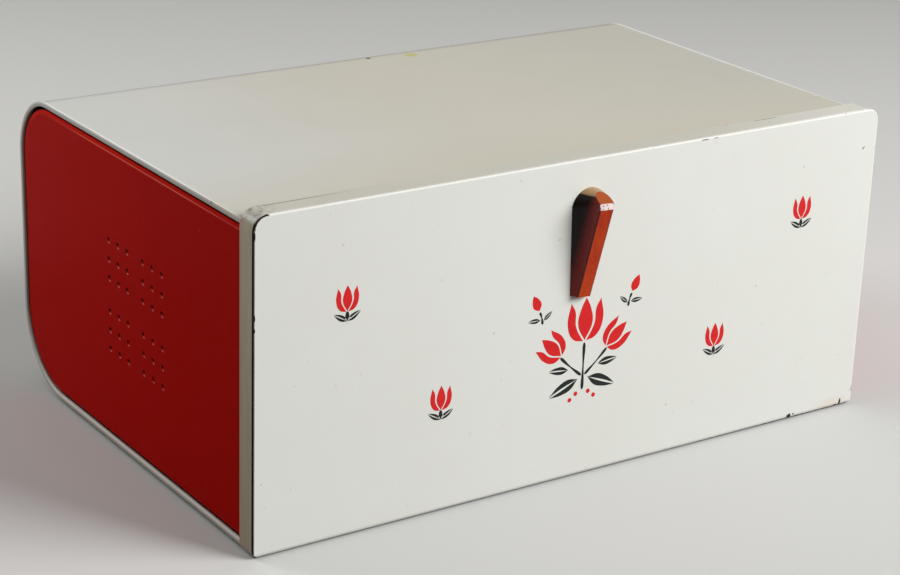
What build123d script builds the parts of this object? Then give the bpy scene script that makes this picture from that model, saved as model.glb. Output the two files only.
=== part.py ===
from build123d import *
import math
import os

os.makedirs("parts", exist_ok=True)

# Frame: millimetres, X to the right of the door, Y to the back, Z up, origin on the
# table under the middle of the whole bread box.  The door faces -Y.

# sheet and clearances
sheet = 0.6
frame_sheet = 0.8
door_sheet = 0.8
moving_gap = 0.4
pin_play = 0.05

# driving sizes
half_width = 203.0
frame_height = 183.2
case_depth = 275.75
face_y = -130.55

# sheet wrap: top, back and bottom in one bend
wrap_step = 5.4
wrap_top = frame_height - wrap_step
wrap_bottom = 3.0
wrap_rear = face_y + case_depth
wrap_radius_top = 36.5
wrap_radius_bottom = 46.0

# rolled seam at both ends of the wrap, a flattened roll with soft corners
seam_sides = 10
seam_softness = 0.6
seam_thickness = 1.75
seam_reach = 2.9
seam_proud = 0.4
seam_setback = 0.45
seam_inset = seam_reach / 2 - seam_proud
seam_x = half_width - seam_setback - seam_thickness / 2

# pressed feet in the bottom sheet
foot_sides = 12
foot_side_inset = 53.0
foot_x = half_width - foot_side_inset
foot_front = 58.0
foot_back = 68.0
foot_rows = (face_y + foot_front, wrap_rear - foot_back)
foot_top_radius = 13.0
foot_tip_radius = 9.0

# front frame
frame_depth = 12.6
frame_corner_top = 8.5
frame_corner_bottom = 4.5
frame_rear_round = 2.8

# door skin and its stand-off from the frame
door_gap = 1.1
skin_margin = 0.2
skin_back = face_y + door_sheet
frame_front = skin_back + door_gap
frame_rear = frame_front + frame_depth
skin_half = half_width - skin_margin
skin_top = frame_height - skin_margin
skin_corner = 7.0
skin_edge_round = 0.6
top_lip_half = skin_half - skin_corner
top_lip_reach = door_gap - moving_gap

# opening in the front frame
side_border = 11.0
bottom_border = 10.0
top_border = 12.2
opening_half = half_width - side_border
opening_low = bottom_border
opening_high = frame_height - top_border
opening_corner = 8.0

# hinge along the bottom edge of the door
tube_radius = 2.35
tube_bore = 1.55
pin_radius = tube_bore - pin_play
curl_radius = tube_radius + door_sheet
curl_ground_gap = 0.25
hinge_y = face_y + curl_radius
hinge_z = curl_ground_gap + curl_radius
lug_thickness = 0.8
lug_x = half_width - frame_sheet - lug_thickness
curl_half = lug_x - moving_gap
tube_inset = 0.2
tube_half = curl_half - tube_inset
curl_open_angle = 80.0
curl_cut_reach = 3 * curl_radius
ear_drop = 1.2
ear_corner = 0.9
pin_length = 9.0
lug_nose = tube_radius - moving_gap
lug_sides = 16
lug_high = 18.0
lug_setback = 4.0
lug_rear = frame_rear - lug_setback
rebate_rear = hinge_y + curl_radius + moving_gap
rebate_high = hinge_z + curl_radius + moving_gap
corner_relief_high = 2.1
corner_relief_rear = hinge_y + lug_nose + moving_gap

# end panels: a raised pad beside a deep groove, with a slightly higher field on it
panel_depth = 4.4
panel_x = half_width - panel_depth
pad_inset = 4.0
pad_front_inset = 1.0
pad_rise = 2.7
pad_taper = 8.0
field_inset = 6.1
field_front_inset = 2.2
field_rise = 0.5
field_taper = 55.0
flange_reach = 5.2
flange_low = 24.0
flange_top_margin = 33.0
flange_high = frame_height - flange_top_margin

# vent holes: four groups of three by three, cut as hexagons
vent_radius = 1.0
vent_sides = 6
vent_pitch = 11.0
vent_group_pitch = 40.2
vent_row_pitch = 41.2
vent_from_face = 131.6
vent_centre_y = face_y + vent_from_face
vent_centre_z = 89.8

# rivets, faceted to stay light
rivet_sides = 8
rivet_radius = 1.5
rivet_head_radius = 2.3
rivet_head_height = 0.9
rivet_head_bevel = 0.55
frame_rivet_inset = 7.8
frame_rivet_x = half_width - frame_rivet_inset
frame_rivet_edge = 16.0
frame_rivet_low = flange_low + frame_rivet_edge
frame_rivet_high = flange_high - frame_rivet_edge
frame_rivet_rows = (frame_rivet_low, (frame_rivet_low + frame_rivet_high) / 2, frame_rivet_high)
frame_rivet_spots = [(side * frame_rivet_x, z) for side in (-1, 1) for z in frame_rivet_rows]

# door liner pan
liner_gap = 1.0
liner_depth = 8.7
liner_flange = 6.0
liner_corner = opening_corner - liner_gap
liner_edge_bevel = sheet
liner_field_inset = 22.0
liner_field_rise = 1.2
liner_field_taper = 40.0
liner_hole_radius = 7.0
liner_half = opening_half - liner_gap
liner_low = opening_low + liner_gap
liner_high = opening_high - liner_gap

# catch under the header
catch_seat = frame_rear - frame_sheet
catch_half = 12.0
catch_sheet = 0.5
catch_foot = 0.9
catch_low = opening_high + catch_foot
catch_reach_up = 10.0
catch_high = opening_high + catch_reach_up
catch_rivet_x = 7.0
catch_rivet_lift = 3.75
catch_rivet_z = opening_high + catch_rivet_lift
catch_rivet_spots = ((-catch_rivet_x, catch_rivet_z), (catch_rivet_x, catch_rivet_z))
catch_bump_lead = 7.6
catch_bump_y = face_y + catch_bump_lead
catch_bump_low = opening_high - pin_play
catch_tip_lead = 4.4
catch_tip_y = face_y + catch_tip_lead
catch_tip_lift = 2.2
catch_tip_z = opening_high + catch_tip_lift
strike_half = 11.0
strike_thickness = 0.45
strike_front = 2.8
strike_length = 6.0
strike_middle_y = face_y + strike_front + strike_length / 2

# handle: a tapering pull, thick and round at the top, with two bevels on its front
handle_x = -1.7
handle_top_margin = 27.6
handle_pivot_z = frame_height - handle_top_margin
handle_lean = 4.0
handle_drop = 48.1
handle_base_radius = 11.65
handle_base_foot = 6.5
handle_base_angle = 8.5
handle_face_radius = 4.1
handle_face_foot = 3.9
handle_face_lift = 6.35
handle_top_stand = 15.7
handle_foot_stand = 4.2
handle_bevel_lift = 3.3
handle_bevel_length = 3.5
handle_bevel_angle = 12.0
handle_nose_angle = 60.0
handle_levels = 4
handle_top_sides = 16
handle_flare = 1.4

# handle screw, faceted to stay light
screw_sides = 16
screw_radius = 2.0
screw_depth = 9.0
screw_head_radius = 3.6
screw_head_height = 2.2
screw_head_taper = 20.0
screw_slot = 0.9
screw_slot_depth = 0.9
washer_radius = 5.0
washer_thickness = 0.8
skin_hole_play = 0.15


def at_y(y):
    return Plane.XZ.offset(-y)


def at_x(x):
    return Plane.YZ.offset(x)


def plate_face(half, low, high, low_corner, high_corner, mode=Mode.ADD):
    right = half - low_corner
    right_high = half - high_corner
    with BuildLine() as edge:
        Line((-right, low), (right, low))
        CenterArc((right, low + low_corner), low_corner, -90, 90)
        Line((half, low + low_corner), (half, high - high_corner))
        CenterArc((right_high, high - high_corner), high_corner, 0, 90)
        Line((right_high, high), (-right_high, high))
        CenterArc((-right_high, high - high_corner), high_corner, 90, 90)
        Line((-half, high - high_corner), (-half, low + low_corner))
        CenterArc((-right, low + low_corner), low_corner, 180, 90)
    make_face(edge.edges(), mode=mode)


def case_face(inset, front, mode=Mode.ADD):
    top = wrap_top - inset
    low = wrap_bottom + inset
    rear = wrap_rear - inset
    r_top = wrap_radius_top - inset
    r_low = wrap_radius_bottom - inset
    with BuildLine() as edge:
        Line((front, top), (rear - r_top, top))
        CenterArc((rear - r_top, top - r_top), r_top, 0, 90)
        Line((rear, top - r_top), (rear, low + r_low))
        CenterArc((rear - r_low, low + r_low), r_low, -90, 90)
        Line((rear - r_low, low), (front, low))
        Line((front, low), (front, top))
    make_face(edge.edges(), mode=mode)


def softened(value):
    return math.copysign(abs(value) ** seam_softness, value)


def seam_outline():
    """Points round the seam's section, a rectangle with soft corners."""
    flat = softened(math.cos(math.pi / seam_sides))
    points = []
    for step in range(seam_sides):
        turn = (2 * step + 1) * math.pi / seam_sides
        across = softened(math.cos(turn)) / flat * seam_thickness / 2
        along = softened(math.sin(turn)) / flat * seam_reach / 2
        points.append((across, along))
    return points


def seam(x):
    top = wrap_top - seam_inset
    low = wrap_bottom + seam_inset
    rear = wrap_rear - seam_inset
    r_top = wrap_radius_top - seam_inset
    r_low = wrap_radius_bottom - seam_inset
    with BuildLine(at_x(x)) as path:
        Line((frame_rear, top), (rear - r_top, top))
        CenterArc((rear - r_top, top - r_top), r_top, 0, 90)
        Line((rear, top - r_top), (rear, low + r_low))
        CenterArc((rear - r_low, low + r_low), r_low, -90, 90)
        Line((rear - r_low, low), (frame_rear, low))
    start = Plane(origin=(x, frame_rear, top), x_dir=(1, 0, 0), z_dir=(0, 1, 0))
    with BuildSketch(start) as section:
        with BuildLine() as outline:
            Polyline(*seam_outline(), close=True)
        make_face(outline.edges())
    sweep(section.sketch, path=path.wire())


# 1 the sheet wrap with its rolled seams and pressed feet
with BuildPart() as case_wrap:
    with BuildSketch(at_x(-seam_x)):
        case_face(0, frame_rear)
        case_face(sheet, frame_rear - sheet, mode=Mode.SUBTRACT)
    extrude(amount=2 * seam_x)
    seam(-seam_x)
    seam(seam_x)
    foot_spots = [(x, y) for x in (-foot_x, foot_x) for y in foot_rows]
    with BuildSketch(Plane.XY.offset(wrap_bottom + sheet)):
        with Locations(*foot_spots):
            RegularPolygon(foot_top_radius - sheet, foot_sides)
    extrude(amount=-sheet, mode=Mode.SUBTRACT)
    for spot in foot_spots:
        with BuildSketch(Plane.XY):
            with Locations(spot):
                RegularPolygon(foot_tip_radius, foot_sides)
        with BuildSketch(Plane.XY.offset(wrap_bottom + sheet)):
            with Locations(spot):
                RegularPolygon(foot_top_radius, foot_sides)
        loft()
        with BuildSketch(Plane.XY.offset(sheet)):
            with Locations(spot):
                RegularPolygon(foot_tip_radius - sheet, foot_sides)
        with BuildSketch(Plane.XY.offset(wrap_bottom + sheet)):
            with Locations(spot):
                RegularPolygon(foot_top_radius - sheet, foot_sides)
        loft(mode=Mode.SUBTRACT)
case_wrap.part.label = "case_wrap"
export_step(case_wrap.part, "parts/case_wrap.step")


def vent_spots():
    spots = []
    for group_y in (-vent_group_pitch / 2, vent_group_pitch / 2):
        for group_z in (-vent_row_pitch / 2, vent_row_pitch / 2):
            for column in (-vent_pitch, 0, vent_pitch):
                for row in (-vent_pitch, 0, vent_pitch):
                    spots.append((vent_centre_y + group_y + column, vent_centre_z + group_z + row))
    return spots


def raised(base, rise, inset, front_inset, taper, mode):
    """A raised area with sloping walls; rise also gives the side that it stands out to."""
    with BuildSketch(at_x(base)) as outline:
        case_face(inset, frame_rear + front_inset)
    extrude(outline.sketch, amount=rise, taper=taper, mode=mode)


def end_panel(side):
    outer = side * panel_x
    pad_outer = side * (panel_x + pad_rise)
    with BuildSketch(at_x(outer)) as plate:
        case_face(sheet, frame_rear)
    extrude(plate.sketch, amount=-side * sheet)
    raised(outer, side * pad_rise, pad_inset, pad_front_inset, pad_taper, Mode.ADD)
    raised(pad_outer, side * field_rise, field_inset, field_front_inset, field_taper, Mode.ADD)
    # the same shape one sheet thickness further in hollows the panel out
    inner = outer - side * sheet
    raised(inner, side * pad_rise, pad_inset + sheet, pad_front_inset + sheet, pad_taper, Mode.SUBTRACT)
    raised(
        pad_outer - side * sheet, side * field_rise,
        field_inset + sheet / 2, field_front_inset + sheet / 2, field_taper, Mode.SUBTRACT,
    )
    with BuildSketch(at_x(pad_outer - side * 2 * sheet)) as vents:
        with Locations(*vent_spots()):
            RegularPolygon(vent_radius, vent_sides)
    extrude(vents.sketch, amount=side * (field_rise + 3 * sheet), mode=Mode.SUBTRACT)
    # front flange against the back of the front frame
    flange_x = side * (panel_x - sheet - flange_reach / 2)
    with BuildSketch(at_y(frame_rear)) as flange:
        with Locations((flange_x, (flange_low + flange_high) / 2)):
            Rectangle(flange_reach, flange_high - flange_low)
    extrude(flange.sketch, amount=-sheet)
    with BuildSketch(at_y(frame_rear)) as holes:
        with Locations(*[(side * frame_rivet_x, z) for z in frame_rivet_rows]):
            RegularPolygon(rivet_radius, rivet_sides)
    extrude(holes.sketch, amount=-sheet, mode=Mode.SUBTRACT)


# 2 the two end panels
with BuildPart() as end_panel_left:
    end_panel(-1)
end_panel_left.part.label = "end_panel_left"
export_step(end_panel_left.part, "parts/end_panel_left.step")

with BuildPart() as end_panel_right:
    end_panel(1)
end_panel_right.part.label = "end_panel_right"
export_step(end_panel_right.part, "parts/end_panel_right.step")

# 3 the front frame: a channel bent from sheet round the opening
with BuildPart() as front_frame:
    with BuildSketch(at_y(frame_front)):
        plate_face(half_width, 0, frame_height, frame_corner_bottom, frame_corner_top)
    extrude(amount=-frame_depth)
    with BuildSketch(at_x(-half_width)):
        with Locations((frame_rear - frame_rear_round / 2, frame_rear_round / 2)):
            Rectangle(frame_rear_round, frame_rear_round)
        with Locations((frame_rear - frame_rear_round, frame_rear_round)):
            Circle(frame_rear_round, mode=Mode.SUBTRACT)
    extrude(amount=2 * half_width, mode=Mode.SUBTRACT)
    with BuildSketch(at_y(frame_front)):
        plate_face(opening_half, opening_low, opening_high, opening_corner, opening_corner)
    extrude(amount=-frame_depth, mode=Mode.SUBTRACT)
    rim = [
        f for f in front_frame.faces()
        if abs(f.center().X) <= opening_half + frame_sheet
        and opening_low - frame_sheet <= f.center().Z <= opening_high + frame_sheet
        and abs(f.normal_at().Y) < 0.5
    ]
    offset(amount=-frame_sheet, openings=rim)
    # rebate that clears the rolled bottom edge of the door
    with BuildSketch(at_y(frame_front)):
        with Locations((0, rebate_high / 2)):
            Rectangle(2 * (half_width - frame_sheet), rebate_high)
    extrude(amount=-(rebate_rear - frame_front), mode=Mode.SUBTRACT)
    with BuildSketch(at_y(frame_front)):
        with Locations((0, corner_relief_high / 2)):
            Rectangle(2 * half_width, corner_relief_high)
    extrude(amount=-(corner_relief_rear - frame_front), mode=Mode.SUBTRACT)
    with BuildSketch(at_y(rebate_rear)):
        with Locations((0, (rebate_high + frame_sheet) / 2)):
            Rectangle(2 * lug_x, rebate_high + frame_sheet)
    extrude(amount=-frame_sheet)
    with BuildSketch(at_y(frame_front)):
        with Locations((0, rebate_high + frame_sheet / 2)):
            Rectangle(2 * lug_x, frame_sheet)
    extrude(amount=-(rebate_rear - frame_front))
    # rivet holes for the end panels and the catch spring
    with BuildSketch(at_y(frame_rear)):
        with Locations(*frame_rivet_spots, *catch_rivet_spots):
            RegularPolygon(rivet_radius, rivet_sides)
    extrude(amount=frame_sheet, mode=Mode.SUBTRACT)
front_frame.part.label = "front_frame"
export_step(front_frame.part, "parts/front_frame.step")


def rivets(made, spots, front, rear):
    """Rivets along Y that clamp everything between front and rear; made is their builder."""
    for seat, radius, length in (
        (front, rivet_radius, front - rear),
        (front, rivet_head_radius, rivet_head_height),
        (rear, rivet_head_radius, -rivet_head_height),
    ):
        with BuildSketch(at_y(seat)) as outline:
            with Locations(*spots):
                RegularPolygon(radius, rivet_sides)
        extrude(outline.sketch, amount=length)
    head_rims = [
        e for e in made.edges()
        if e.center().Y < front - rivet_head_bevel or e.center().Y > rear + rivet_head_bevel
    ]
    chamfer(head_rims, rivet_head_bevel)


# 4 rivets that hold the end panels to the front frame
with BuildPart() as frame_rivets:
    rivets(frame_rivets, frame_rivet_spots, frame_rear - frame_sheet, frame_rear + sheet)
frame_rivets.part.label = "frame_rivets"
export_step(frame_rivets.part, "parts/frame_rivets.step")


def hinge_lug(side):
    with BuildSketch(at_x(side * lug_x)) as plate:
        with Locations((hinge_y, hinge_z)):
            RegularPolygon(lug_nose, lug_sides)
        with BuildLine() as web:
            Polyline(
                (hinge_y, hinge_z),
                (hinge_y, lug_high),
                (lug_rear, lug_high),
                (lug_rear, rebate_high),
                (rebate_rear, rebate_high),
                (hinge_y + lug_nose, hinge_z),
                close=True,
            )
        make_face(web.edges())
        with Locations((hinge_y, hinge_z)):
            Circle(pin_radius, mode=Mode.SUBTRACT)
    extrude(plate.sketch, amount=side * lug_thickness)


def pivot_pin(side):
    with BuildSketch(at_x(side * (half_width - frame_sheet))) as end:
        with Locations((hinge_y, hinge_z)):
            Circle(pin_radius)
    extrude(end.sketch, amount=-side * pin_length)


# 5 hinge lugs and pivot pins in the bottom corners of the front frame
with BuildPart() as hinge_lug_left:
    hinge_lug(-1)
hinge_lug_left.part.label = "hinge_lug_left"
export_step(hinge_lug_left.part, "parts/hinge_lug_left.step")

with BuildPart() as hinge_lug_right:
    hinge_lug(1)
hinge_lug_right.part.label = "hinge_lug_right"
export_step(hinge_lug_right.part, "parts/hinge_lug_right.step")

with BuildPart() as pivot_pin_left:
    pivot_pin(-1)
pivot_pin_left.part.label = "pivot_pin_left"
export_step(pivot_pin_left.part, "parts/pivot_pin_left.step")

with BuildPart() as pivot_pin_right:
    pivot_pin(1)
pivot_pin_right.part.label = "pivot_pin_right"
export_step(pivot_pin_right.part, "parts/pivot_pin_right.step")

# 6 catch spring: a leaf riveted behind the header, bent down to the top of the door
with BuildPart() as catch_spring:
    with BuildSketch(at_x(-catch_half)):
        with BuildLine():
            Polyline(
                (catch_seat, catch_high),
                (catch_seat, catch_low),
                (catch_bump_y, catch_bump_low),
                (catch_tip_y, catch_tip_z),
                (catch_tip_y, catch_tip_z + catch_sheet),
                (catch_bump_y, catch_bump_low + catch_sheet),
                (catch_seat - catch_sheet, catch_low + catch_sheet),
                (catch_seat - catch_sheet, catch_high),
                close=True,
            )
        make_face()
    extrude(amount=2 * catch_half)
    with BuildSketch(at_y(catch_seat)):
        with Locations(*catch_rivet_spots):
            RegularPolygon(rivet_radius, rivet_sides)
    extrude(amount=catch_sheet, mode=Mode.SUBTRACT)
catch_spring.part.label = "catch_spring"
export_step(catch_spring.part, "parts/catch_spring.step")

with BuildPart() as catch_rivets:
    rivets(catch_rivets, catch_rivet_spots, catch_seat - catch_sheet, frame_rear)
catch_rivets.part.label = "catch_rivets"
export_step(catch_rivets.part, "parts/catch_rivets.step")

# 7 door skin with rounded rim, top lip and the edge rolled round the hinge tube
curl_slope = math.tan(math.radians(curl_open_angle))
with BuildPart() as door_skin:
    with BuildSketch(at_y(skin_back)):
        plate_face(skin_half, hinge_z - ear_drop, skin_top, ear_corner, skin_corner)
        with Locations((0, hinge_z - ear_drop / 2)):
            Rectangle(2 * curl_half, ear_drop, mode=Mode.SUBTRACT)
    extrude(amount=door_sheet)
    rim_edges = [
        e for e in door_skin.edges()
        if e.center().Y < face_y + pin_play
        and (abs(e.center().X) > curl_half + pin_play or e.center().Z > hinge_z + door_sheet)
    ]
    fillet(rim_edges, skin_edge_round)
    with BuildSketch(at_x(-curl_half)):
        with Locations((hinge_y, hinge_z)):
            Circle(curl_radius)
            Circle(tube_radius, mode=Mode.SUBTRACT)
            with BuildLine():
                Polyline(
                    (hinge_y, hinge_z),
                    (hinge_y - curl_cut_reach, hinge_z),
                    (hinge_y - curl_cut_reach, hinge_z + curl_cut_reach),
                    (hinge_y - curl_cut_reach / curl_slope, hinge_z + curl_cut_reach),
                    close=True,
                )
        make_face(mode=Mode.SUBTRACT)
    extrude(amount=2 * curl_half)
    with BuildSketch(at_y(skin_back)):
        with Locations((0, skin_top - door_sheet / 2)):
            Rectangle(2 * top_lip_half, door_sheet)
    extrude(amount=-top_lip_reach)
    with BuildSketch(at_y(skin_back)):
        with Locations((handle_x, handle_pivot_z)):
            RegularPolygon(screw_radius + skin_hole_play, screw_sides)
    extrude(amount=door_sheet, mode=Mode.SUBTRACT)
door_skin.part.label = "door_skin"
export_step(door_skin.part, "parts/door_skin.step")

# 8 hinge tube inside the rolled edge
with BuildPart() as hinge_tube:
    with BuildSketch(at_x(-tube_half)):
        with Locations((hinge_y, hinge_z)):
            Circle(tube_radius)
            Circle(tube_bore, mode=Mode.SUBTRACT)
    extrude(amount=2 * tube_half)
hinge_tube.part.label = "hinge_tube"
export_step(hinge_tube.part, "parts/hinge_tube.step")

# 9 door liner: a shallow pan that stiffens the skin and fills the opening
with BuildPart() as door_liner:
    with BuildSketch(at_y(skin_back)):
        plate_face(liner_half, liner_low, liner_high, liner_corner, liner_corner)
    extrude(amount=-liner_depth)
    rear_rim = door_liner.edges().filter_by_position(
        Axis.Y, skin_back + liner_depth - pin_play, skin_back + liner_depth + pin_play
    )
    chamfer(rear_rim, liner_edge_bevel)
    with BuildSketch(at_y(skin_back + sheet)):
        plate_face(
            liner_half - sheet, liner_low + sheet, liner_high - sheet,
            liner_corner - sheet, liner_corner - sheet,
        )
    extrude(amount=-(liner_depth - 2 * sheet), mode=Mode.SUBTRACT)
    with BuildSketch(at_y(skin_back)):
        plate_face(
            liner_half - liner_flange, liner_low + liner_flange, liner_high - liner_flange,
            liner_corner - sheet, liner_corner - sheet,
        )
    extrude(amount=-sheet, mode=Mode.SUBTRACT)
    with BuildSketch(at_y(skin_back + liner_depth)):
        plate_face(
            liner_half - liner_field_inset, liner_low + liner_field_inset,
            liner_high - liner_field_inset, liner_corner, liner_corner,
        )
    extrude(amount=-liner_field_rise, taper=liner_field_taper)
    with BuildSketch(at_y(skin_back + liner_depth - sheet)):
        plate_face(
            liner_half - liner_field_inset - sheet / 2, liner_low + liner_field_inset + sheet / 2,
            liner_high - liner_field_inset - sheet / 2, liner_corner, liner_corner,
        )
    extrude(amount=-liner_field_rise, taper=liner_field_taper, mode=Mode.SUBTRACT)
    with BuildSketch(at_y(skin_back + liner_depth + liner_field_rise)):
        with Locations((handle_x, handle_pivot_z)):
            RegularPolygon(liner_hole_radius, screw_sides)
    extrude(amount=liner_field_rise + 2 * sheet, mode=Mode.SUBTRACT)
door_liner.part.label = "door_liner"
export_step(door_liner.part, "parts/door_liner.step")

# 10 strike plate on top of the liner, under the catch spring
with BuildPart() as catch_strike:
    with BuildSketch(Plane.XY.offset(liner_high)):
        with Locations((0, strike_middle_y)):
            Rectangle(2 * strike_half, strike_length)
    extrude(amount=strike_thickness)
catch_strike.part.label = "catch_strike"
export_step(catch_strike.part, "parts/catch_strike.step")


# directions of the handle, which leans a little on its one screw
lean = math.radians(handle_lean)
handle_up = Vector(math.sin(lean), 0, math.cos(lean))
handle_side = Vector(math.cos(lean), 0, -math.sin(lean))
handle_out = Vector(0, -1, 0)
handle_pivot = Vector(handle_x, face_y, handle_pivot_z)
handle_rise = (handle_top_stand - handle_foot_stand) / (handle_drop + handle_face_lift)


def handle_face(share):
    """One level of the handle, from 0 on the door to 1 at its front: a tapering outline with
    a round top.  The width falls faster near the door, which gives the flared foot."""
    narrowing = 1 - (1 - share) ** handle_flare
    foot = handle_base_foot + (handle_face_foot - handle_base_foot) * narrowing
    radius = handle_base_radius + (handle_face_radius - handle_base_radius) * narrowing
    slope = math.atan(share * handle_rise)
    stretch = 1 / math.cos(slope)
    level = Plane(
        origin=handle_pivot - handle_up * handle_drop + handle_out * (share * handle_foot_stand),
        x_dir=handle_side,
        z_dir=handle_out * math.cos(slope) - handle_up * math.sin(slope),
    )
    run = handle_drop + handle_face_lift * narrowing
    touch = math.radians(handle_base_angle * (1 - narrowing))
    top = []
    for step in range(handle_top_sides + 1):
        turn = touch + (math.pi - 2 * touch) * step / handle_top_sides
        top.append((radius * math.cos(turn), (run + radius * math.sin(turn)) * stretch))
    with BuildSketch(level) as outline:
        with BuildLine() as edge:
            Polyline((-foot, 0), (foot, 0), *top, close=True)
        make_face(edge.edges())
    return outline.sketch.faces()[0]


# 11 handle
bevel_stand = handle_foot_stand + (handle_drop + handle_bevel_lift) * handle_rise
bevel_turn = math.radians(handle_bevel_angle)
nose_lift = handle_bevel_lift + handle_bevel_length * math.cos(bevel_turn)
nose_stand = bevel_stand - handle_bevel_length * math.sin(bevel_turn)
nose_cut_reach = 2 * handle_base_radius
nose_turn = math.radians(handle_nose_angle)
with BuildPart() as handle:
    loft([handle_face(level / handle_levels) for level in range(handle_levels + 1)], ruled=True)
    with BuildSketch(Plane(origin=handle_pivot, x_dir=handle_up, z_dir=handle_side)):
        with BuildLine():
            Polyline(
                (handle_bevel_lift, bevel_stand),
                (nose_lift, nose_stand),
                (
                    nose_lift + nose_cut_reach * math.cos(nose_turn),
                    nose_stand - nose_cut_reach * math.sin(nose_turn),
                ),
                (nose_lift + nose_cut_reach, bevel_stand + nose_cut_reach),
                (handle_bevel_lift, bevel_stand + nose_cut_reach),
                close=True,
            )
        make_face()
    extrude(amount=nose_cut_reach, both=True, mode=Mode.SUBTRACT)
    with BuildSketch(at_y(face_y)):
        with Locations((handle_x, handle_pivot_z)):
            RegularPolygon(screw_radius, screw_sides)
    extrude(amount=screw_depth, mode=Mode.SUBTRACT)
handle.part.label = "handle"
export_step(handle.part, "parts/handle.step")

# 12 handle screw and washer, put in from inside the door
washer_seat = skin_back + washer_thickness
with BuildPart() as handle_screw:
    with BuildSketch(at_y(washer_seat)):
        with Locations((handle_x, handle_pivot_z)):
            RegularPolygon(screw_radius, screw_sides)
    extrude(amount=washer_seat - face_y + screw_depth)
    with BuildSketch(at_y(washer_seat)):
        with Locations((handle_x, handle_pivot_z)):
            RegularPolygon(screw_head_radius, screw_sides)
    extrude(amount=-screw_head_height, taper=screw_head_taper)
    with BuildSketch(at_y(washer_seat + screw_head_height)):
        with Locations((handle_x, handle_pivot_z)):
            Rectangle(2 * screw_head_radius, screw_slot)
    extrude(amount=screw_slot_depth, mode=Mode.SUBTRACT)
handle_screw.part.label = "handle_screw"
export_step(handle_screw.part, "parts/handle_screw.step")

with BuildPart() as handle_washer:
    with BuildSketch(at_y(skin_back)):
        with Locations((handle_x, handle_pivot_z)):
            RegularPolygon(washer_radius, screw_sides)
            RegularPolygon(screw_radius, screw_sides, mode=Mode.SUBTRACT)
    extrude(amount=-washer_thickness)
handle_washer.part.label = "handle_washer"
export_step(handle_washer.part, "parts/handle_washer.step")
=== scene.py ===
import math

import bpy
from mathutils import Matrix, Vector


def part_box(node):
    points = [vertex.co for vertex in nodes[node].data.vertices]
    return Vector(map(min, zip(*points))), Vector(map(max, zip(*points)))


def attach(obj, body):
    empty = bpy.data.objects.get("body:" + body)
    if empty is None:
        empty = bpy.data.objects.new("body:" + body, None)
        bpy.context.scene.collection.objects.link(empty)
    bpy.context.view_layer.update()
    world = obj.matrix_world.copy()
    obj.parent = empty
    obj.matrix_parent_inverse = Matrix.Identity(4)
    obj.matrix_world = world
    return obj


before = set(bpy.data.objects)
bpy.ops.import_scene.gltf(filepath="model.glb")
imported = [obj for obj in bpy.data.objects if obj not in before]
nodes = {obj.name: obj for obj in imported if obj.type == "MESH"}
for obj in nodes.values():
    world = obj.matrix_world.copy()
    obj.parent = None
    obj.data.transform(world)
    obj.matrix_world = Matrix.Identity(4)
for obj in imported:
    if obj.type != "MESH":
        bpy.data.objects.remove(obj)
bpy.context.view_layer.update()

# sizes read from the frame, in metres
skin_low, skin_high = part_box("door_skin")
ring_low, ring_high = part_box("front_frame")
wrap_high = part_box("case_wrap")[1]
panel_low, panel_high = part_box("end_panel_left")
face_y = skin_low.y
mm = 0.001

# sizes of the part that no box gives
skin_corner = 7 * mm
vent_pitch = 11 * mm
vent_centre_y, vent_centre_z = face_y + 131.6 * mm, 89.8 * mm
vent_group_y, vent_group_z = 20.1 * mm, 20.6 * mm


def srgb(red, green, blue):
    """A display colour, 0 to 255, as a linear colour for a shader."""
    def linear(value):
        share = value / 255
        return share / 12.92 if share <= 0.04045 else ((share + 0.055) / 1.055) ** 2.4
    return (linear(red), linear(green), linear(blue), 1.0)


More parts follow.
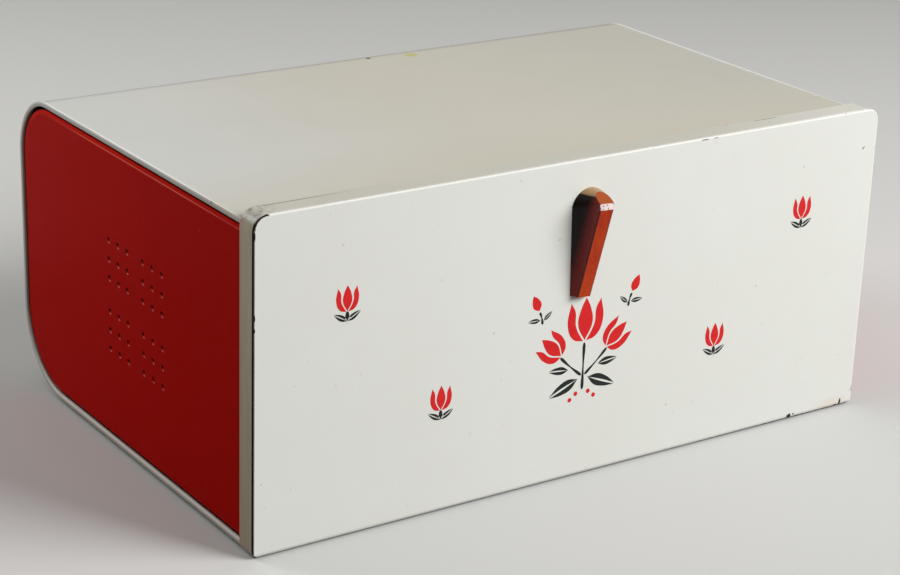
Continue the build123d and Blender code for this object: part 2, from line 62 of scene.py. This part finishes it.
class Finish:
    """One material: a Principled shader, with short ways to add nodes and join them."""

    def __init__(self, name):
        self.material = bpy.data.materials.new(name)
        self.material.use_nodes = True
        self.tree = self.material.node_tree
        self.shader = self.tree.nodes["Principled BSDF"]
        self.own = self.node("ShaderNodeTexCoord").outputs
        self.place = self.own["Object"]
        self.x, self.y, self.z = self.node("ShaderNodeSeparateXYZ", {0: self.place}).outputs

    def join(self, socket, value):
        if isinstance(value, bpy.types.NodeSocket):
            self.tree.links.new(value, socket)
        else:
            socket.default_value = value

    def node(self, kind, inputs=None, **settings):
        made = self.tree.nodes.new(kind)
        for name, value in settings.items():
            setattr(made, name, value)
        for name, value in (inputs or {}).items():
            self.join(made.inputs[name], value)
        return made

    def math(self, operation, first, second=0.0, clamp=False):
        inputs = {0: first, 1: second}
        made = self.node("ShaderNodeMath", inputs, operation=operation, use_clamp=clamp)
        return made.outputs[0]

    def add(self, *values):
        total = values[0]
        for value in values[1:]:
            total = self.math("ADD", total, value)
        return total

    def times(self, *values):
        total = values[0]
        for value in values[1:]:
            total = self.math("MULTIPLY", total, value)
        return total

    def less(self, first, second):
        return self.math("SUBTRACT", first, second)

    def most(self, *values):
        total = values[0]
        for value in values[1:]:
            total = self.math("MAXIMUM", total, value)
        return total

    def least(self, *values):
        total = values[0]
        for value in values[1:]:
            total = self.math("MINIMUM", total, value)
        return total

    def noise(self, scale, detail=2.0, roughness=0.5, place=None):
        sockets = {
            "Vector": self.place if place is None else place,
            "Scale": scale, "Detail": detail, "Roughness": roughness,
        }
        return self.node("ShaderNodeTexNoise", sockets).outputs["Fac"]

    def stretched(self, factors):
        """The surface's own coordinates, scaled by a factor along each axis."""
        return self.node("ShaderNodeMapping", {"Vector": self.place, "Scale": factors}).outputs[0]

    def ramp(self, value, low, high, start=0.0, end=1.0):
        sockets = {
            "Value": value, "From Min": low, "From Max": high, "To Min": start, "To Max": end,
        }
        return self.node("ShaderNodeMapRange", sockets, interpolation_type="SMOOTHSTEP").outputs[0]

    def mix(self, share, first, second):
        made = self.node("ShaderNodeMix", data_type="RGBA")
        for index, value in ((0, share), (6, first), (7, second)):
            self.join(made.inputs[index], value)
        return made.outputs[2]

    def bump(self, height, distance, strength=1.0, under=None):
        sockets = {"Height": height, "Distance": distance, "Strength": strength}
        if under is not None:
            sockets["Normal"] = under
        return self.node("ShaderNodeBump", sockets).outputs[0]

    def patches(self, places, ragged=1.2, soft=0.15):
        """A mask of ragged ellipsoids, each given in mm as (centre, radii, turn about Y)."""
        wobble = self.times(self.less(self.noise(1300.0, 3.0, 0.65), 0.5), ragged)
        masks = []
        for centre, radii, turn in places:
            sockets = {
                "Vector": self.place,
                "Location": [value * mm for value in centre],
                "Rotation": (0, math.radians(turn), 0),
                "Scale": [value * mm for value in radii],
            }
            local = self.node("ShaderNodeMapping", sockets, vector_type="TEXTURE").outputs[0]
            length = self.node("ShaderNodeVectorMath", {0: local}, operation="LENGTH")
            away = length.outputs["Value"]
            masks.append(self.ramp(self.add(away, wobble), 1.0 - soft, 1.0 + soft, 1.0, 0.0))
        return self.most(*masks)

    def finish(self, **sockets):
        for name, value in sockets.items():
            self.join(self.shader.inputs[name.replace("_", " ")], value)
        return self.material


def enamel(name, colour, aged_and_shaded_tone, chips, stains_and_painted_light=None, specular=0.3, roughness=0.2, peel=0.012):
    """Stoved enamel on sheet steel: even gloss, faint orange peel, soft waves of the sheet,
    an aged tone in broad patches, stains on it and chips through it to dark steel. For some parts
    the stains mask also paints light and shade, and the chips mask also paints shade, which comes
    out as dark steel."""
    f = Finish(name)
    broad = f.add(f.times(f.noise(6.0, 3.0, 0.55), 0.7), f.times(f.noise(60.0, 4.0, 0.6), 0.3))
    body = f.mix(f.times(f.ramp(broad, 0.35, 0.68), 0.6), colour, aged_and_shaded_tone)
    specks = f.times(f.ramp(f.noise(420.0, 1.0, 0.5), 0.77, 0.81), 0.35)
    body = f.mix(specks, body, srgb(120, 116, 106))
    if stains_and_painted_light is not None:
        body = stains_and_painted_light(f, body)
    bare_and_shade_share = chips(f)
    rust = f.ramp(f.noise(500.0, 3.0, 0.7), 0.4, 0.6)
    body = f.mix(bare_and_shade_share, body, f.mix(rust, srgb(34, 30, 28), srgb(74, 52, 38)))
    smear = f.ramp(f.noise(18.0, 4.0, 0.65), 0.3, 0.75)
    smeared = f.add(f.times(smear, 0.07), roughness)
    gloss = f.math("ADD", smeared, f.times(bare_and_shade_share, 0.45), clamp=True)
    waves = f.bump(f.noise(9.0, 2.0, 0.4), 0.6 * mm)
    skin = f.bump(f.noise(650.0, 2.0, 0.5), peel * mm, under=waves)
    pits = f.bump(f.less(1.0, bare_and_shade_share), 0.1 * mm, under=skin)
    f.shader.inputs["Specular IOR Level"].default_value = specular
    return f.finish(Base_Color=body, Roughness=gloss, Normal=pits)


def nicks(f, distance, reach, level):
    """A few small nicks in the enamel within reach of an edge; distance is a socket."""
    near = f.ramp(distance, 0.0, reach, 1.0, 0.0)
    grain = f.add(f.noise(260.0, 3.0, 0.65), f.times(f.noise(27.0, 2.0, 0.5), 0.35))
    return f.times(f.ramp(grain, level, level + 0.02), f.ramp(near, 0.1, 0.4))


def door_rim(f):
    """How far a point of the door's face lies from its outline."""
    side = f.less(skin_high.x, f.math("ABSOLUTE", f.x))
    return f.least(side, f.less(skin_high.z, f.z), f.less(f.z, skin_low.z))


def door_chips_and_shade(f):
    # centre x, centre z, radius x, radius z, turn: the chips that the door shows
    chips = [
        (-202.6, 173.0, 0.35, 2.2, 0), (-202.6, 131.0, 0.3, 1.6, 0), (-202.6, 124.5, 0.25, 1.0, 0),
        (75.0, 182.3, 2.6, 0.25, 0), (82.5, 182.3, 1.6, 0.22, 0), (135.7, 0.8, 1.2, 0.9, 0),
        (154.1, 2.3, 1.7, 1.9, 0), (157.4, 3.2, 0.7, 0.5, 0), (160.5, 1.2, 2.6, 0.6, 0),
        (190.7, 1.4, 1.2, 1.0, 0), (193.9, 2.8, 0.8, 2.6, 8), (199.3, 0.8, 3.0, 0.8, 0),
        (193.4, 160.7, 1.3, 0.3, -40),
    ]
    placed = f.patches([((x, face_y / mm, z), (rx, 2.0, rz), turn) for x, z, rx, rz, turn in chips])
    # the top left corner is dark in a thin band along its arc
    arc_x, arc_z = -skin_high.x + skin_corner, skin_high.z - skin_corner
    across, up = f.less(f.x, arc_x), f.less(f.z, arc_z)
    radial = f.math("SQRT", f.add(f.times(across, across), f.times(up, up)))
    wobble = f.times(f.less(f.noise(900.0, 2.0, 0.6), 0.5), 0.9 * mm)
    corner = f.times(
        f.ramp(f.add(radial, wobble), skin_corner - 0.75 * mm, skin_corner - 0.5 * mm),
        f.ramp(across, 0.0, 2 * mm, 1.0, 0.0), f.ramp(up, -1 * mm, 1 * mm),
    )
    # painted shade: the sheet's cut side, back from the front, is dark for the gap line between
    # door and frame, and the underside of the rolled edge is dark as painted shadow under the door,
    # ragged and reaching higher to the right
    side = f.less(skin_high.x, f.math("ABSOLUTE", f.x))
    cut = f.times(
        f.ramp(side, 0.1 * mm, 0.3 * mm, 1.0, 0.0),
        f.ramp(f.y, face_y + 0.3 * mm, face_y + 0.5 * mm),
    )
    ragged = f.times(wobble, f.ramp(f.x, 100 * mm, 140 * mm, 0.3, 1.3))
    shadow_to = f.ramp(f.x, 100 * mm, 150 * mm, 1.1 * mm, 1.5 * mm)
    under = f.ramp(f.less(f.add(f.z, ragged), shadow_to), -0.2 * mm, 0.2 * mm, 1.0, 0.0)
    return f.most(placed, corner, cut, under, nicks(f, door_rim(f), 1.2 * mm, 0.88))


def door_stains_and_highlight(f, body):
    # painted highlight: the face is lighter within about a millimetre of its outline
    body = f.mix(f.ramp(door_rim(f), 0.5 * mm, 1.1 * mm, 0.7, 0.0), body, srgb(250, 249, 245))
    pale_rust = f.patches([((187.0, face_y / mm, 3.5), (11.0, 2.0, 3.5), 0)], 1.8, 0.5)
    body = f.mix(f.times(pale_rust, 0.3), body, srgb(232, 202, 176))
    marks = [
        (148.8, 155.9), (-153.2, 160.7), (-20.0, 141.0),
        (60.0, 30.0), (-60.0, 96.0), (120.0, 90.0),
    ]
    faint = f.patches([((x, face_y / mm, z), (0.9, 2.0, 0.7), 0) for x, z in marks], 0.8)
    return f.mix(f.times(faint, 0.3), body, srgb(150, 148, 140))


def ring_chips_and_shade(f):
    front = f.less(f.y, ring_low.y)
    rear = f.less(ring_high.y, f.y)
    top = f.ramp(f.z, ring_high.z - 2.6 * mm, ring_high.z - 1.6 * mm)
    # painted shade: where the rear edge of the frame's top is darkened, for the seam against the
    # case, along x
    left_run = f.times(
        f.ramp(f.x, ring_low.x + 8 * mm, ring_low.x + 14 * mm),
        f.ramp(f.x, ring_low.x + 30 * mm, ring_low.x + 75 * mm, 1.0, 0.0),
    )
    right_run = f.times(f.ramp(f.x, 117 * mm, 122 * mm), f.ramp(f.x, 134 * mm, 139 * mm, 1.0, 0.0))
    wobble = f.times(f.less(f.noise(120.0, 3.0, 0.6), 0.5), 0.7 * mm)
    # a thin line of painted shade: nearer to the rear face it is not darkened
    line = f.times(
        f.ramp(f.add(rear, wobble), 1.75 * mm, 2.05 * mm, 1.0, 0.0),
        f.ramp(rear, 1.1 * mm, 1.4 * mm),
    )
    painted_seam_shade = f.times(line, top, f.most(left_run, right_run))
    # painted shade: the outer rim of the front face is dark, for the gap line between frame and
    # door
    outer = f.less(ring_high.x, f.math("ABSOLUTE", f.x))
    rubbed_and_painted_light = f.times(
        f.ramp(outer, 1.4 * mm, 1.8 * mm, 1.0, 0.0),
        f.ramp(front, 0.1 * mm, 0.35 * mm, 1.0, 0.0),
    )
    return f.most(f.times(painted_seam_shade, 0.75), rubbed_and_painted_light, nicks(f, f.least(front, rear), 0.9 * mm, 0.93))


def ring_stains_and_painted_light(f, body):
    """Brown film that gathers at the frame's top left corner, and faint runs down its sides.
    Painted shade makes the side face darker and warmer, more so to the bottom, and a painted
    reflection of the red end tints the side pink near the rear edge.
    """
    corner = f.patches([((-197.0, ring_high.y / mm - 4, 181.0), (9.0, 9.0, 7.0), 0)], 1.6, 0.6)
    mottle = f.ramp(f.noise(330.0, 4.0, 0.7), 0.46, 0.62)
    body = f.mix(f.times(corner, mottle, 0.6), body, srgb(128, 118, 98))
    # the top brightens to its right end
    body = f.mix(f.ramp(f.x, 60 * mm, 190 * mm, 0.0, 0.7), body, srgb(232, 231, 223))
    runs = f.ramp(f.noise(260.0, 3.0, 0.6, place=f.stretched((1.0, 1.0, 0.06))), 0.42, 0.68)
    # painted shade: the side face is darker and warmer, darker still towards the bottom
    side = f.ramp(f.math("ABSOLUTE", f.x), ring_high.x - 1.2 * mm, ring_high.x - 0.6 * mm)
    aged_and_shaded_tone = f.mix(f.ramp(f.z, 20 * mm, 150 * mm), srgb(186, 172, 146), srgb(204, 193, 170))
    body = f.mix(f.times(side, 0.85), body, aged_and_shaded_tone)
    body = f.mix(f.times(runs, side, 0.3), body, srgb(176, 160, 124))
    # painted reflection: the side face is tinted pink near its rear edge, by the red end
    painted_red_reflection = f.ramp(f.less(ring_high.y, f.y), 0.5 * mm, 4.5 * mm, 1.0, 0.0)
    return f.mix(f.times(painted_red_reflection, side, 0.4), body, srgb(224, 150, 128))


def wrap_chips(f):
    side = f.less(wrap_high.x, f.math("ABSOLUTE", f.x))
    dot = f.patches([((11.0, 111.7, wrap_high.z / mm - 0.4), (1.5, 1.5, 2.0), 0)])
    return f.most(dot, nicks(f, side, 1.6 * mm, 0.93))


def wrap_stains_and_painted_light(f, body):
    top = f.ramp(f.z, wrap_high.z - 3 * mm, wrap_high.z - 1.5 * mm)
    # the top's tone: cool at its left, warmer in the middle and greyer to the right, with painted
    # light making it lighter at the left and painted shade making it darker to the right
    cool = f.ramp(f.x, -200 * mm, 20 * mm, 1.0, 0.0)
    body = f.mix(f.times(top, cool, 0.8), body, srgb(224, 226, 222))
    body = f.mix(f.times(top, f.ramp(f.x, -200 * mm, 0.0), 0.65), body, srgb(215, 210, 195))
    body = f.mix(f.times(top, f.ramp(f.x, 0.0, 240 * mm), 0.6), body, srgb(200, 199, 190))
    # painted light on the rolled seam: a painted highlight where it turns up, painted shade where
    # it faces sideways and down, and a pinkish painted highlight on the upward ledge of the low
    # seam
    seam = f.ramp(f.math("ABSOLUTE", f.x), 200.5 * mm, 200.9 * mm)
    upward = f.node("ShaderNodeSeparateXYZ", {0: f.own["Normal"]}).outputs["Z"]
    body = f.mix(f.times(seam, f.ramp(upward, 0.08, 0.3)), body, srgb(253, 252, 247))
    low = f.ramp(f.z, 6 * mm, 20 * mm, 1.0, 0.0)
    seam_shaded_side = f.less(1.0, f.ramp(upward, 0.0, 0.2))
    body = f.mix(f.times(seam, seam_shaded_side, 0.6), body, srgb(200, 196, 184))
    body = f.mix(f.times(seam, low, f.ramp(upward, 0.08, 0.3), 0.5), body, srgb(255, 236, 226))
    # painted shade: the top is darker towards the front frame
    front = f.ramp(f.y, ring_high.y, ring_high.y + 90 * mm, 1.0, 0.0)
    body = f.mix(f.times(top, front, 0.6), body, srgb(213, 207, 190))
    yellow = f.patches([((38.3, 105.9, wrap_high.z / mm - 0.4), (4.0, 3.5, 2.0), 0)], 1.2, 0.4)
    return f.mix(f.times(yellow, 0.7), body, srgb(206, 200, 96))


def panel_chips(f):
    low = f.less(f.z, panel_low.z)
    top = f.less(panel_high.z, f.z)
    rear = f.less(panel_high.y, f.y)
    return nicks(f, f.least(low, top, rear), 8 * mm, 0.95)


def folded(f, value, middle, group, pitch):
    """Where a coordinate lies from the nearest of the six vent rows: two groups of three."""
    away = f.less(value, middle)
    inside = f.less(away, f.times(f.math("SIGN", away), group))
    row = f.least(f.most(f.math("ROUND", f.times(inside, 1 / pitch)), -1.0), 1.0)
    return f.less(inside, f.times(row, pitch))


def panel_painted_light(f, body):
    out = f.math("ABSOLUTE", f.x)
    # painted light and shade for a burr round each vent: a painted highlight on its lower lip,
    # painted shade round the rest
    across = folded(f, f.y, vent_centre_y, vent_group_y, vent_pitch)
    up = folded(f, f.z, vent_centre_z, vent_group_z, vent_pitch)

    def spot(dy, dz, width, height):
        u, v = f.times(f.less(across, dy), 1 / width), f.times(f.less(up, dz), 1 / height)
        return f.math("SQRT", f.add(f.times(u, u), f.times(v, v)))

    shade = f.ramp(spot(0.2 * mm, 0.3 * mm, 1.7 * mm, 1.1 * mm), 0.75, 1.15, 1.0, 0.0)
    lip_highlight = f.ramp(spot(-0.6 * mm, -1.55 * mm, 1.1 * mm, 0.55 * mm), 0.6, 1.2, 1.0, 0.0)
    body = f.mix(f.times(shade, 0.9), body, srgb(52, 6, 4))
    body = f.mix(f.times(lip_highlight, 0.9), body, srgb(255, 156, 142))
    # painted light along the top: a painted highlight on the margin round the field, and on the
    # step up to the field
    upward = f.node("ShaderNodeSeparateXYZ", {0: f.own["Normal"]}).outputs["Z"]
    high = f.ramp(f.z, 95 * mm, 150 * mm)
    margin = f.ramp(out, 201.33 * mm, 201.45 * mm, 1.0, 0.0)
    body = f.mix(f.times(margin, high, 0.8), body, srgb(246, 30, 12))
    step = f.times(
        f.ramp(out, 201.36 * mm, 201.46 * mm), f.ramp(upward, 0.15, 0.5),
        f.ramp(f.y, 50 * mm, 95 * mm, 1.0, 0.25), f.ramp(f.y, -108 * mm, -60 * mm, 0.1, 1.0),
    )
    body = f.mix(f.times(step, 0.65), body, srgb(255, 110, 86))
    # painted shade: the panel is darker towards the front and the bottom
    near = f.times(
        f.ramp(f.y, -130 * mm, 60 * mm, 1.0, 0.0),
        f.ramp(f.z, 40 * mm, 180 * mm, 1.0, 0.5),
    )
    body = f.mix(f.times(near, 0.5), body, srgb(176, 12, 5))
    # painted reflection: a lighter patch high at the rear of the field
    painted_reflection = f.patches([((-panel_high.x / mm, 103.0, 161.0), (6.0, 26.0, 11.0), 0)], 0.5, 0.6)
    body = f.mix(f.times(painted_reflection, 0.4), body, srgb(226, 92, 66))
    # painted shade in the groove inside the seam
    groove_shade = f.ramp(out, 200.4 * mm, 200.8 * mm, 1.0, 0.0)
    return f.mix(groove_shade, body, srgb(20, 6, 5))


white_door = enamel(
    "door_enamel", srgb(231, 232, 226), srgb(227, 227, 219), door_chips_and_shade, door_stains_and_highlight, specular=0.25,
)
white_case = enamel(
    "case_enamel", srgb(223, 221, 213), srgb(217, 213, 202), wrap_chips, wrap_stains_and_painted_light, specular=0.2,
)
white_ring = enamel(
    "frame_enamel", srgb(214, 211, 200), srgb(205, 200, 186), ring_chips_and_shade, ring_stains_and_painted_light, specular=0.2,
)
red_end = enamel(
    "end_enamel", srgb(208, 12, 4), srgb(196, 9, 3), panel_chips, panel_painted_light,
    specular=0.01, roughness=0.14,
)


def moulded_plastic():
    """Thick cast plastic: orange-red in front, with painted shade darkening it to nearly black
    towards its base, a painted highlight where it faces up, and a bevel that is worn and painted
    with a highlight.
    """
    f = Finish("handle_plastic")
    # the handle's own directions: lift along its length from its screw, stand out from the door
    pivot_x, pivot_z, lean = -1.7 * mm, 155.6 * mm, math.radians(4)
    rise = 0.2112  # how much the front stands out more for each length that it lifts
    foot_stand, drop = 4.2 * mm, 48.1 * mm
    bevel_lift, nose_lift, nose_stand = 3.3 * mm, 6.7 * mm, 14.3 * mm
    from_x, from_z = f.less(f.x, pivot_x), f.less(f.z, pivot_z)
    along = f.add(f.times(from_x, math.sin(lean)), f.times(from_z, math.cos(lean)))
    across = f.less(f.times(from_x, math.cos(lean)), f.times(from_z, math.sin(lean)))
    stand = f.less(face_y, f.y)
    front = f.add(f.times(along, rise), foot_stand + drop * rise)
    depth = f.less(front, stand)
    swirl = f.noise(160.0, 3.0, 0.55, place=f.stretched((1.0, 1.0, 0.18)))
    body = f.mix(f.ramp(swirl, 0.32, 0.68), srgb(192, 62, 8), srgb(172, 42, 4))
    body = f.mix(f.ramp(across, 3.3 * mm, 3.7 * mm, 0.0, 0.8), body, srgb(96, 34, 12))
    # painted shade on the sides: a dark line along the front facet's edge, a maroon band, then
    # nearly black towards the base
    body = f.mix(f.ramp(depth, 0.05 * mm, 0.25 * mm), body, srgb(92, 26, 18))
    body = f.mix(f.ramp(depth, 0.5 * mm, 1.4 * mm), body, srgb(140, 40, 36))
    body = f.mix(f.ramp(depth, 3.0 * mm, 9.0 * mm), body, srgb(24, 11, 9))
    facing = f.node("ShaderNodeSeparateXYZ", {0: f.own["Normal"]}).outputs
    # painted highlight: where the handle faces up it is light brown, a painted reflection of light
    # from above
    painted_top_sheen = f.ramp(facing["Z"], 0.72, 0.86)
    body = f.mix(f.times(painted_top_sheen, 0.9), body, srgb(184, 150, 108))
    nose_turn = math.radians(60)
    cut = f.add(
        f.times(f.less(along, nose_lift), math.sin(nose_turn)),
        f.times(f.less(stand, nose_stand), math.cos(nose_turn)),
    )
    body = f.mix(f.ramp(cut, -0.25 * mm, -0.05 * mm), body, srgb(166, 82, 44))
    # the bevel band is rubbed whitish in spots and painted as a highlight
    bevel_wear_and_highlight = f.times(
        f.ramp(along, bevel_lift - 0.1 * mm, bevel_lift + 0.2 * mm),
        f.ramp(along, nose_lift - 0.3 * mm, nose_lift + 0.1 * mm, 1.0, 0.0),
        f.ramp(stand, nose_stand - 0.2 * mm, nose_stand),
    )
    rubbed_and_painted_light = f.ramp(f.noise(900.0, 3.0, 0.65), 0.36, 0.46)
    body = f.mix(f.times(bevel_wear_and_highlight, rubbed_and_painted_light), body, srgb(238, 222, 222))
    wear = f.ramp(f.noise(300.0, 3.0, 0.6), 0.45, 0.6)
    gloss = f.add(f.times(wear, 0.1), 0.2)
    skin = f.bump(f.noise(260.0, 2.0, 0.5), 0.01 * mm)
    f.shader.inputs["Specular IOR Level"].default_value = 0.2
    return f.finish(Base_Color=body, Roughness=gloss, Normal=skin)


def plated_steel():
    f = Finish("plated_steel")
    grain = f.noise(500.0, 3.0, 0.6)
    dull = f.ramp(f.noise(90.0, 4.0, 0.6), 0.35, 0.7)
    body = f.mix(dull, srgb(176, 176, 172), srgb(126, 122, 112))
    f.shader.inputs["Metallic"].default_value = 1.0
    gloss = f.add(f.times(grain, 0.25), 0.25)
    return f.finish(Base_Color=body, Roughness=gloss, Normal=f.bump(grain, 0.01 * mm))


grip_plastic = moulded_plastic()
steel = plated_steel()

paint = {
    "case_wrap": white_case, "front_frame": white_ring, "end_panel_left": red_end,
    "end_panel_right": red_end, "door_skin": white_door, "door_liner": white_case,
    "handle": grip_plastic,
}
for name, node in nodes.items():
    node.data.materials.clear()
    node.data.materials.append(paint.get(name, steel))


def smooth_shallow_edges(name, limit):
    """Shades edges that turn less than limit degrees smooth; the shape stays as it is."""
    tree = bpy.data.node_groups.new("smooth_" + name, "GeometryNodeTree")
    for way in ("INPUT", "OUTPUT"):
        tree.interface.new_socket("Geometry", in_out=way, socket_type="NodeSocketGeometry")
    start = tree.nodes.new("NodeGroupInput")
    weld = tree.nodes.new("GeometryNodeMergeByDistance")
    weld.inputs["Distance"].default_value = 0.001 * mm
    turn = tree.nodes.new("GeometryNodeInputMeshEdgeAngle")
    sharp = tree.nodes.new("FunctionNodeCompare")
    sharp.inputs["B"].default_value = math.radians(limit)
    normals = tree.nodes.new("GeometryNodeSetMeshNormal")
    normals.mode = "SHARPNESS"
    normals.inputs["Remove Custom"].default_value = True
    end = tree.nodes.new("NodeGroupOutput")
    links = (
        (start.outputs[0], weld.inputs["Geometry"]),
        (weld.outputs[0], normals.inputs["Mesh"]),
        (turn.outputs["Unsigned Angle"], sharp.inputs["A"]),
        (sharp.outputs[0], normals.inputs["Edge Sharpness"]),
        (normals.outputs[0], end.inputs[0]),
    )
    for source, target in links:
        tree.links.new(source, target)
    nodes[name].modifiers.new("smooth", "NODES").node_group = tree


smooth_shallow_edges("case_wrap", 40)
smooth_shallow_edges("handle", 16)


# printed ornament on the door: tulips and leaves, as thin raised enamel
print_rise = 0.06 * mm


def ink(name, colour, aged_and_shaded_tone):
    f = Finish(name)
    patch = f.ramp(f.noise(140.0, 3.0, 0.6), 0.35, 0.7)
    body = f.mix(f.times(patch, 0.5), colour, aged_and_shaded_tone)
    gloss = f.add(f.times(patch, 0.1), 0.2)
    f.shader.inputs["Specular IOR Level"].default_value = 0.2
    skin = f.bump(f.noise(700.0, 2.0, 0.5), 0.01 * mm)
    return f.finish(Base_Color=body, Roughness=gloss, Normal=skin)


red_ink = ink("red_print", srgb(222, 38, 40), srgb(205, 28, 32))
dark_ink = ink("dark_print", srgb(34, 42, 40), srgb(24, 30, 28))

# outlines on a unit square, from the foot at 0, 0; the last value says if a corner is sharp
middle_petal = (
    (0, 0.02, 1), (0.19, 0.4, 0), (0.13, 0.75, 0),
    (0, 1.0, 1), (-0.13, 0.75, 0), (-0.19, 0.4, 0),
)
side_petal = (
    (0.04, 0.0, 1), (0.3, 0.08, 0), (0.47, 0.42, 0),
    (0.4, 0.93, 1), (0.28, 0.72, 0), (0.25, 0.38, 0),
)
leaf_half = ((0, 0, 1), (0.16, 0.3, 0), (0.15, 0.62, 0), (0.02, 1.0, 1), (0.03, 0.5, 0))
bud_shape = ((0, 0, 1), (0.26, 0.3, 0), (0.2, 0.7, 0), (0, 1.0, 1), (-0.2, 0.7, 0), (-0.26, 0.3, 0))
berry_shape = ((0, -0.5, 0), (0.5, 0, 0), (0, 0.5, 0), (-0.5, 0, 0))


def flipped(shape):
    return tuple((-x, z, sharp) for x, z, sharp in shape)


def printed(name, shapes, colour):
    """One flat ornament from outlines, each as (shape, size, turn in degrees, x, z) in mm."""
    curve = bpy.data.curves.new(name, "CURVE")
    curve.dimensions = "2D"
    curve.fill_mode = "BOTH"
    curve.extrude = print_rise / 2
    curve.resolution_u = 6
    for shape, size, turn, x, z in shapes:
        line = curve.splines.new("BEZIER")
        line.bezier_points.add(len(shape) - 1)
        line.use_cyclic_u = True
        spin = Matrix.Rotation(math.radians(-turn), 2)
        for point, (u, v, sharp) in zip(line.bezier_points, shape):
            spot = spin @ Vector((u, v)) * size
            point.co = ((x + spot.x) * mm, (z + spot.y) * mm, 0)
            point.handle_left_type = point.handle_right_type = "VECTOR" if sharp else "AUTO"
    piece = bpy.data.objects.new(name, curve)
    bpy.context.scene.collection.objects.link(piece)
    piece.rotation_euler = (math.radians(90), 0, 0)
    piece.location = (0, face_y - print_rise / 2, 0)
    curve.materials.append(colour)
    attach(piece, "door")


def tulip(size, turn, x, z):
    sides = [(shape, size, turn, x, z) for shape in (side_petal, flipped(side_petal))]
    return [(middle_petal, size, turn, x, z), *sides]


def leaf(size, turn, x, z):
    return [(shape, size, turn, x, z) for shape in (leaf_half, flipped(leaf_half))]


def strip(points, width):
    """A stem as one outline of even width along a few points, in mm."""
    line = [Vector(p) for p in points]
    left, right = [], []
    for index, spot in enumerate(line):
        ahead = line[min(index + 1, len(line) - 1)] - line[max(index - 1, 0)]
        across = Vector((-ahead.y, ahead.x)).normalized() * width / 2
        left.append((*(spot + across), 0))
        right.append((*(spot - across), 0))
    return (tuple(left + right[::-1]), 1.0, 0.0, 0.0, 0.0)


red_shapes = tulip(25, 0, 0, 80) + tulip(18, -48, -15, 74) + tulip(18, 48, 15, 74)
dark_shapes = [strip([(0, 79), (0, 66), (0, 52)], 0.9)]
for side in (-1, 1):
    red_shapes += [
        (bud_shape, 10, side * 25, side * 31, 103),
        (berry_shape, 2.6, 0, side * 4.2, 50), (berry_shape, 2.6, 0, side * 8.0, 47),
    ]
    dark_shapes += [strip([(side * 15.4, 73), (side * 8.5, 66.5), (side * 1.3, 60.5)], 0.8)]
    dark_shapes += [strip([(side * 30.6, 102), (side * 29.4, 99), (side * 28.6, 95)], 0.7)]
    dark_shapes += leaf(20, side * 112, side * 3.4, 58.5) + leaf(13, side * 84, side * 10, 65)
    dark_shapes += leaf(8, side * 88, side * 30.2, 97.5) + leaf(7, side * -50, side * 28.0, 97)
printed("tulip_group", red_shapes, red_ink)
printed("leaf_group", dark_shapes, dark_ink)
small_places = {
    "outer_left": (-150, 128), "inner_left": (-92, 62),
    "inner_right": (92, 62), "outer_right": (150, 128),
}
for name, (x, z) in small_places.items():
    printed("tulip_" + name, tulip(14, 0, x, z - 3), red_ink)
    stem = [strip([(x, z - 3), (x, z - 9)], 0.8)]
    printed("leaf_" + name, stem + leaf(9, -60, x, z - 8) + leaf(9, 60, x, z - 8), dark_ink)

# camera, fitted to the straight edges of the object
camera_place = Vector((-0.7150, -1.0462, 0.5406))
camera_aim = Vector((-0.0887, -0.1305, 0.1267))
camera_roll = math.radians(1.943)
camera_lens = 92.73
sensor_width = 36.0
lens = bpy.data.cameras.new("camera")
lens.sensor_width = sensor_width
lens.lens = camera_lens
lens.clip_start = 0.05
lens.clip_end = 60
camera = bpy.data.objects.new("camera", lens)
bpy.context.scene.collection.objects.link(camera)
camera.location = camera_place
camera.rotation_mode = "QUATERNION"
aim = (camera_aim - camera_place).to_track_quat("-Z", "Y")
roll = Matrix.Rotation(camera_roll, 3, "Z").to_quaternion()
camera.rotation_quaternion = aim @ roll
bpy.context.scene.camera = camera


def studio_floor():
    """A wide pale floor.  It looks pale to the camera and in reflections, and gives back less
    light than that to the object."""
    size = 12.0
    mesh = bpy.data.meshes.new("floor")
    corners = [(-size, -size, 0), (size, -size, 0), (size, size, 0), (-size, size, 0)]
    mesh.from_pydata(corners, [], [(0, 1, 2, 3)])
    floor = bpy.data.objects.new("floor", mesh)
    bpy.context.scene.collection.objects.link(floor)
    f = Finish("floor")
    path = f.node("ShaderNodeLightPath").outputs
    seen = f.most(path["Is Camera Ray"], path["Is Glossy Ray"], path["Is Transmission Ray"])
    colour = f.mix(seen, srgb(120, 120, 120), srgb(214, 214, 212))
    f.shader.inputs["Specular IOR Level"].default_value = 0.0
    mesh.materials.append(f.finish(Base_Color=colour, Roughness=0.9))


def lamp(name, place, aim_at, width, height, power, spread=180, mirrored=True):
    """A soft rectangular lamp; one that isn't mirrored gives light but no image in gloss."""
    light = bpy.data.lights.new(name, "AREA")
    light.shape = "RECTANGLE"
    light.size = width
    light.size_y = height
    light.energy = power
    light.spread = math.radians(spread)
    made = bpy.data.objects.new(name, light)
    bpy.context.scene.collection.objects.link(made)
    made.visible_glossy = mirrored
    made.location = place
    made.rotation_mode = "QUATERNION"
    made.rotation_quaternion = (Vector(aim_at) - Vector(place)).to_track_quat("-Z", "Y")


studio_floor()
lamp("key", (1.4, -1.7, 1.35), (0.25, 0, 0.1), 1.7, 1.3, 22.0, spread=90, mirrored=False)
lamp("top", (-0.7, 0.5, 2.3), (0, 0, 0.1), 1.8, 1.8, 6.4)
lamp("side", (-0.9, 1.05, 0.9), (-0.1, 0, 0.1), 0.7, 0.7, 7.4)

world = bpy.data.worlds.new("studio")
bpy.context.scene.world = world
world.use_nodes = True
world.node_tree.nodes["Background"].inputs["Color"].default_value = (0.9, 0.87, 0.81, 1.0)
world.node_tree.nodes["Background"].inputs["Strength"].default_value = 0.165

bpy.context.scene.view_settings.view_transform = "Standard"
